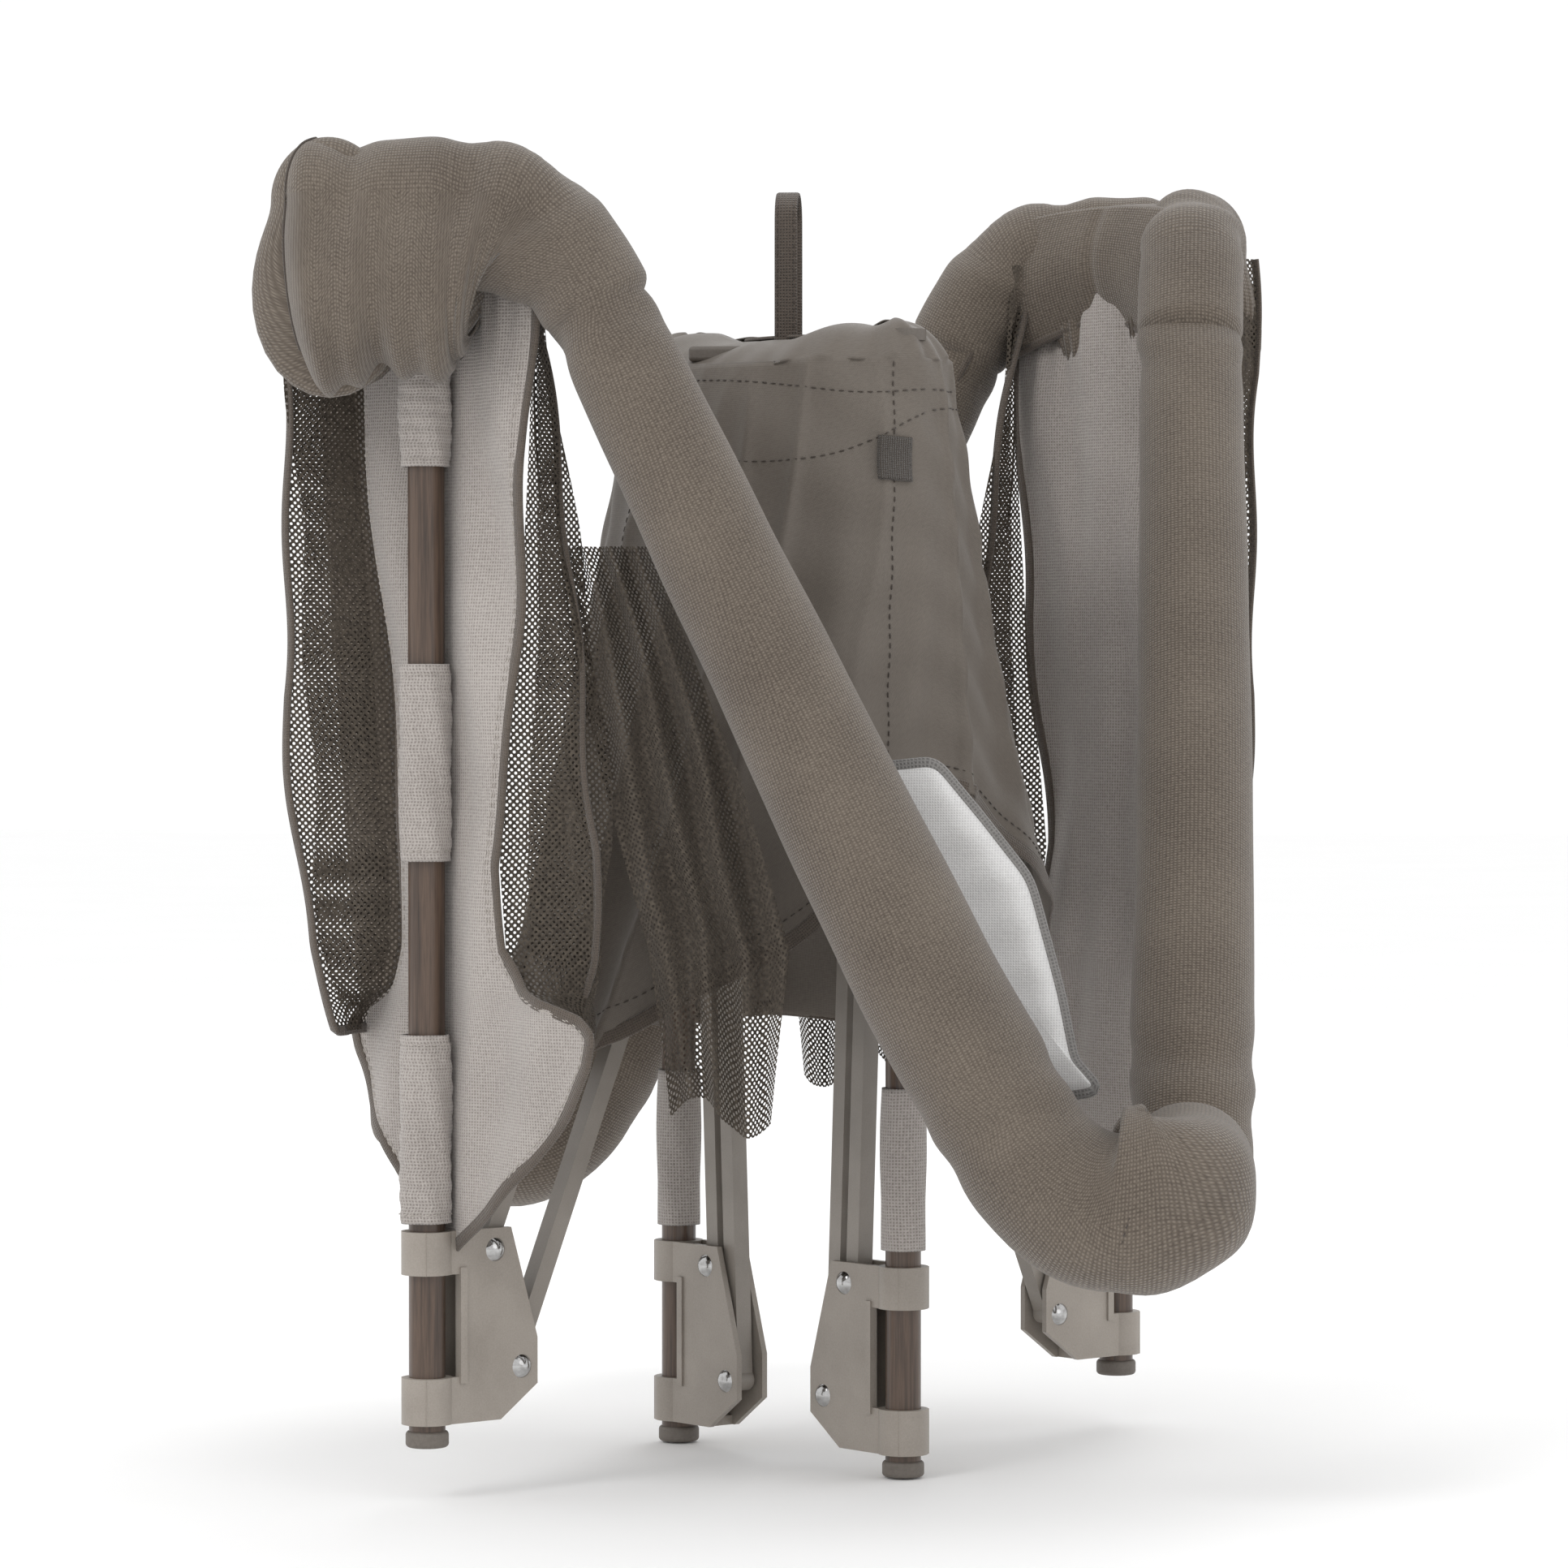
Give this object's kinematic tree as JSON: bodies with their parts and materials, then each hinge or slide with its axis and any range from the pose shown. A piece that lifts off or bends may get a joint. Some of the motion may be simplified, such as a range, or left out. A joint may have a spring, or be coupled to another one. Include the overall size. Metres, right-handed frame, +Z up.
{
  "type": "folding travel cot",
  "caption": "Folding travel cot caught part folded: padded rim, wood-look legs, mesh and woven panels, bars meeting at a central hub and a floor lifted by a pull strap.",
  "frame": {"origin": "on the hub axis, level with the underside of the two inner feet", "axes": "+Z up, +X along the long side to the right, -Y towards the viewer"},
  "size_m": [0.5624, 0.5624, 0.8071],
  "materials": {
    "fitting_plastic": "matte",
    "strap_webbing": "webbing",
    "tent_fabric": "smooth",
    "mattress_fabric": "padded",
    "hub_plastic": "matte",
    "pin_steel": "brushed",
    "bar_paint": "satin",
    "wood_look_tube": "satin",
    "foot_plastic": "matte",
    "bracket_plastic": "matte",
    "rivet_chrome": "polished",
    "marl_fabric": "woven",
    "knit_fabric": "knitted",
    "mesh_fabric": "open mesh",
    "rail_steel": "satin"
  },
  "bodies": {
    "lift": {"floor_plate": "fitting_plastic", "pull_strap": "strap_webbing", "floor_tent": "tent_fabric", "mattress": "mattress_fabric", "lift_webbing": "strap_webbing"},
    "hub": {"hub_body": "hub_plastic", "hub_cover": "hub_plastic", "hub_pivot_pins": "pin_steel"},
    "lower_bar_a": {"lower_bar_a": "bar_paint"},
    "upper_bar_a": {"upper_bar_a": "bar_paint"},
    "leg_a": {"leg_tube_a": "wood_look_tube", "foot_cap_a": "foot_plastic", "foot_bracket_a": "bracket_plastic", "bracket_rivets_a": "rivet_chrome", "corner_panel_a": "marl_fabric", "corner_fitting_a": "fitting_plastic", "corner_hinge_pins_a": "pin_steel", "hood_pad_a": "knit_fabric", "mesh_wall_ab": "mesh_fabric", "mesh_wall_ca": "mesh_fabric"},
    "lower_bar_b": {"lower_bar_b": "bar_paint"},
    "upper_bar_b": {"upper_bar_b": "bar_paint"},
    "leg_b": {"leg_tube_b": "wood_look_tube", "foot_cap_b": "foot_plastic", "foot_bracket_b": "bracket_plastic", "bracket_rivets_b": "rivet_chrome", "tube_sleeves_b": "marl_fabric", "leg_top_latch_b": "fitting_plastic"},
    "lower_bar_c": {"lower_bar_c": "bar_paint"},
    "upper_bar_c": {"upper_bar_c": "bar_paint"},
    "leg_c": {"leg_tube_c": "wood_look_tube", "foot_cap_c": "foot_plastic", "foot_bracket_c": "bracket_plastic", "bracket_rivets_c": "rivet_chrome", "tube_sleeves_c": "marl_fabric", "leg_top_latch_c": "fitting_plastic"},
    "lower_bar_d": {"lower_bar_d": "bar_paint"},
    "upper_bar_d": {"upper_bar_d": "bar_paint"},
    "leg_d": {"leg_tube_d": "wood_look_tube", "foot_cap_d": "foot_plastic", "foot_bracket_d": "bracket_plastic", "bracket_rivets_d": "rivet_chrome", "corner_panel_d": "marl_fabric", "corner_fitting_d": "fitting_plastic", "corner_hinge_pins_d": "pin_steel", "hood_pad_d": "knit_fabric", "mesh_wall_dc": "mesh_fabric", "mesh_wall_bd": "mesh_fabric"},
    "rail_ab": {"rail_tube_ab": "rail_steel", "rail_pad_ab": "knit_fabric"},
    "rail_ca": {"rail_tube_ca": "rail_steel", "rail_pad_ca": "knit_fabric"},
    "rail_dc": {"rail_tube_dc": "rail_steel", "rail_pad_dc": "knit_fabric"},
    "rail_bd": {"rail_tube_bd": "rail_steel", "rail_pad_bd": "knit_fabric"},
    "elbow_b": {"elbow_b": "fitting_plastic", "elbow_pad_b": "knit_fabric"},
    "elbow_c": {"elbow_c": "fitting_plastic", "elbow_pad_c": "knit_fabric"}
  },
  "joints": [
    {"name": "hub_slide", "type": "slide", "parent": "lift", "child": "hub", "axis": [0, 0, 1], "range_m": [0, 0.1501], "deforming": ["floor_tent", "mattress", "lift_webbing"]},
    {"name": "fold", "type": "hinge", "parent": "hub", "child": "lower_bar_a", "pos_m": [-0.04596, -0.04596, 0.44765], "axis": [-0.7071, 0.7071, 0], "range_deg": [0, 67.2]},
    {"name": "upper_bar_a_swing", "type": "hinge", "parent": "hub", "child": "upper_bar_a", "pos_m": [-0.0601, -0.0601, 0.51965], "axis": [-0.7071, 0.7071, 0], "range_deg": [0, 67.22]},
    {"name": "leg_a_swing", "type": "hinge", "parent": "lower_bar_a", "child": "leg_a", "pos_m": [-0.15639, -0.15639, 0.07614], "axis": [-0.7071, 0.7071, 0], "range_deg": [-67.22, 0]},
    {"name": "lower_bar_b_swing", "type": "hinge", "parent": "hub", "child": "lower_bar_b", "pos_m": [0.04596, -0.04596, 0.44765], "axis": [-0.7071, -0.7071, 0], "range_deg": [0, 92.42]},
    {"name": "upper_bar_b_swing", "type": "hinge", "parent": "hub", "child": "upper_bar_b", "pos_m": [0.0601, -0.0601, 0.51965], "axis": [-0.7071, -0.7071, 0], "range_deg": [0, 92.42]},
    {"name": "leg_b_swing", "type": "hinge", "parent": "lower_bar_b", "child": "leg_b", "pos_m": [0.03403, -0.03403, 0.045], "axis": [-0.7071, -0.7071, 0], "range_deg": [-92.42, 0]},
    {"name": "lower_bar_c_swing", "type": "hinge", "parent": "hub", "child": "lower_bar_c", "pos_m": [-0.04596, 0.04596, 0.44765], "axis": [0.7071, 0.7071, 0], "range_deg": [0, 92.42]},
    {"name": "upper_bar_c_swing", "type": "hinge", "parent": "hub", "child": "upper_bar_c", "pos_m": [-0.0601, 0.0601, 0.51965], "axis": [0.7071, 0.7071, 0], "range_deg": [0, 92.42]},
    {"name": "leg_c_swing", "type": "hinge", "parent": "lower_bar_c", "child": "leg_c", "pos_m": [-0.03403, 0.03403, 0.045], "axis": [0.7071, 0.7071, 0], "range_deg": [-92.42, 0]},
    {"name": "lower_bar_d_swing", "type": "hinge", "parent": "hub", "child": "lower_bar_d", "pos_m": [0.04596, 0.04596, 0.44765], "axis": [0.7071, -0.7071, 0], "range_deg": [0, 67.22]},
    {"name": "upper_bar_d_swing", "type": "hinge", "parent": "hub", "child": "upper_bar_d", "pos_m": [0.0601, 0.0601, 0.51965], "axis": [0.7071, -0.7071, 0], "range_deg": [0, 67.22]},
    {"name": "leg_d_swing", "type": "hinge", "parent": "lower_bar_d", "child": "leg_d", "pos_m": [0.15639, 0.15639, 0.07614], "axis": [0.7071, -0.7071, 0], "range_deg": [-67.22, 0]},
    {"name": "rail_ab_swing", "type": "hinge", "parent": "leg_a", "child": "rail_ab", "pos_m": [-0.12523, -0.25023, 0.77614], "axis": [0, -1, 0], "range_deg": [0, 61.96], "deforming": ["mesh_wall_ab"]},
    {"name": "rail_ca_swing", "type": "hinge", "parent": "leg_a", "child": "rail_ca", "pos_m": [-0.25023, -0.13523, 0.77614], "axis": [1, 0, 0], "range_deg": [0, 61.96], "deforming": ["mesh_wall_ca"]},
    {"name": "rail_dc_swing", "type": "hinge", "parent": "leg_d", "child": "rail_dc", "pos_m": [0.12523, 0.25023, 0.77614], "axis": [0, 1, 0], "range_deg": [0, 61.96], "deforming": ["mesh_wall_dc"]},
    {"name": "rail_bd_swing", "type": "hinge", "parent": "leg_d", "child": "rail_bd", "pos_m": [0.25023, 0.13523, 0.77614], "axis": [-1, 0, 0], "range_deg": [0, 61.96], "deforming": ["mesh_wall_bd"]},
    {"name": "elbow_b_swing", "type": "hinge", "parent": "rail_ab", "child": "elbow_b", "pos_m": [0.18523, -0.25023, 0.19371], "axis": [0, -1, 0], "range_deg": [-61.96, 0]},
    {"name": "elbow_c_swing", "type": "hinge", "parent": "rail_dc", "child": "elbow_c", "pos_m": [-0.18523, 0.25023, 0.19371], "axis": [0, 1, 0], "range_deg": [-61.96, 0]}
  ],
  "couplings": [
    {"joint": "hub_slide", "follows": "fold", "m_per_rad": 0.12789},
    {"joint": "upper_bar_a_swing", "follows": "fold", "ratio": 1},
    {"joint": "leg_a_swing", "follows": "fold", "ratio": -1},
    {"joint": "lower_bar_b_swing", "follows": "fold", "ratio": 1.375},
    {"joint": "upper_bar_b_swing", "follows": "fold", "ratio": 1.375},
    {"joint": "leg_b_swing", "follows": "fold", "ratio": -1.375},
    {"joint": "lower_bar_c_swing", "follows": "fold", "ratio": 1.375},
    {"joint": "upper_bar_c_swing", "follows": "fold", "ratio": 1.375},
    {"joint": "leg_c_swing", "follows": "fold", "ratio": -1.375},
    {"joint": "lower_bar_d_swing", "follows": "fold", "ratio": 1},
    {"joint": "upper_bar_d_swing", "follows": "fold", "ratio": 1},
    {"joint": "leg_d_swing", "follows": "fold", "ratio": -1},
    {"joint": "rail_ab_swing", "follows": "fold", "ratio": 0.92173},
    {"joint": "rail_ca_swing", "follows": "fold", "ratio": 0.92173},
    {"joint": "rail_dc_swing", "follows": "fold", "ratio": 0.92173},
    {"joint": "rail_bd_swing", "follows": "fold", "ratio": 0.92173},
    {"joint": "elbow_b_swing", "follows": "fold", "ratio": -0.92173},
    {"joint": "elbow_c_swing", "follows": "fold", "ratio": -0.92173}
  ]
}
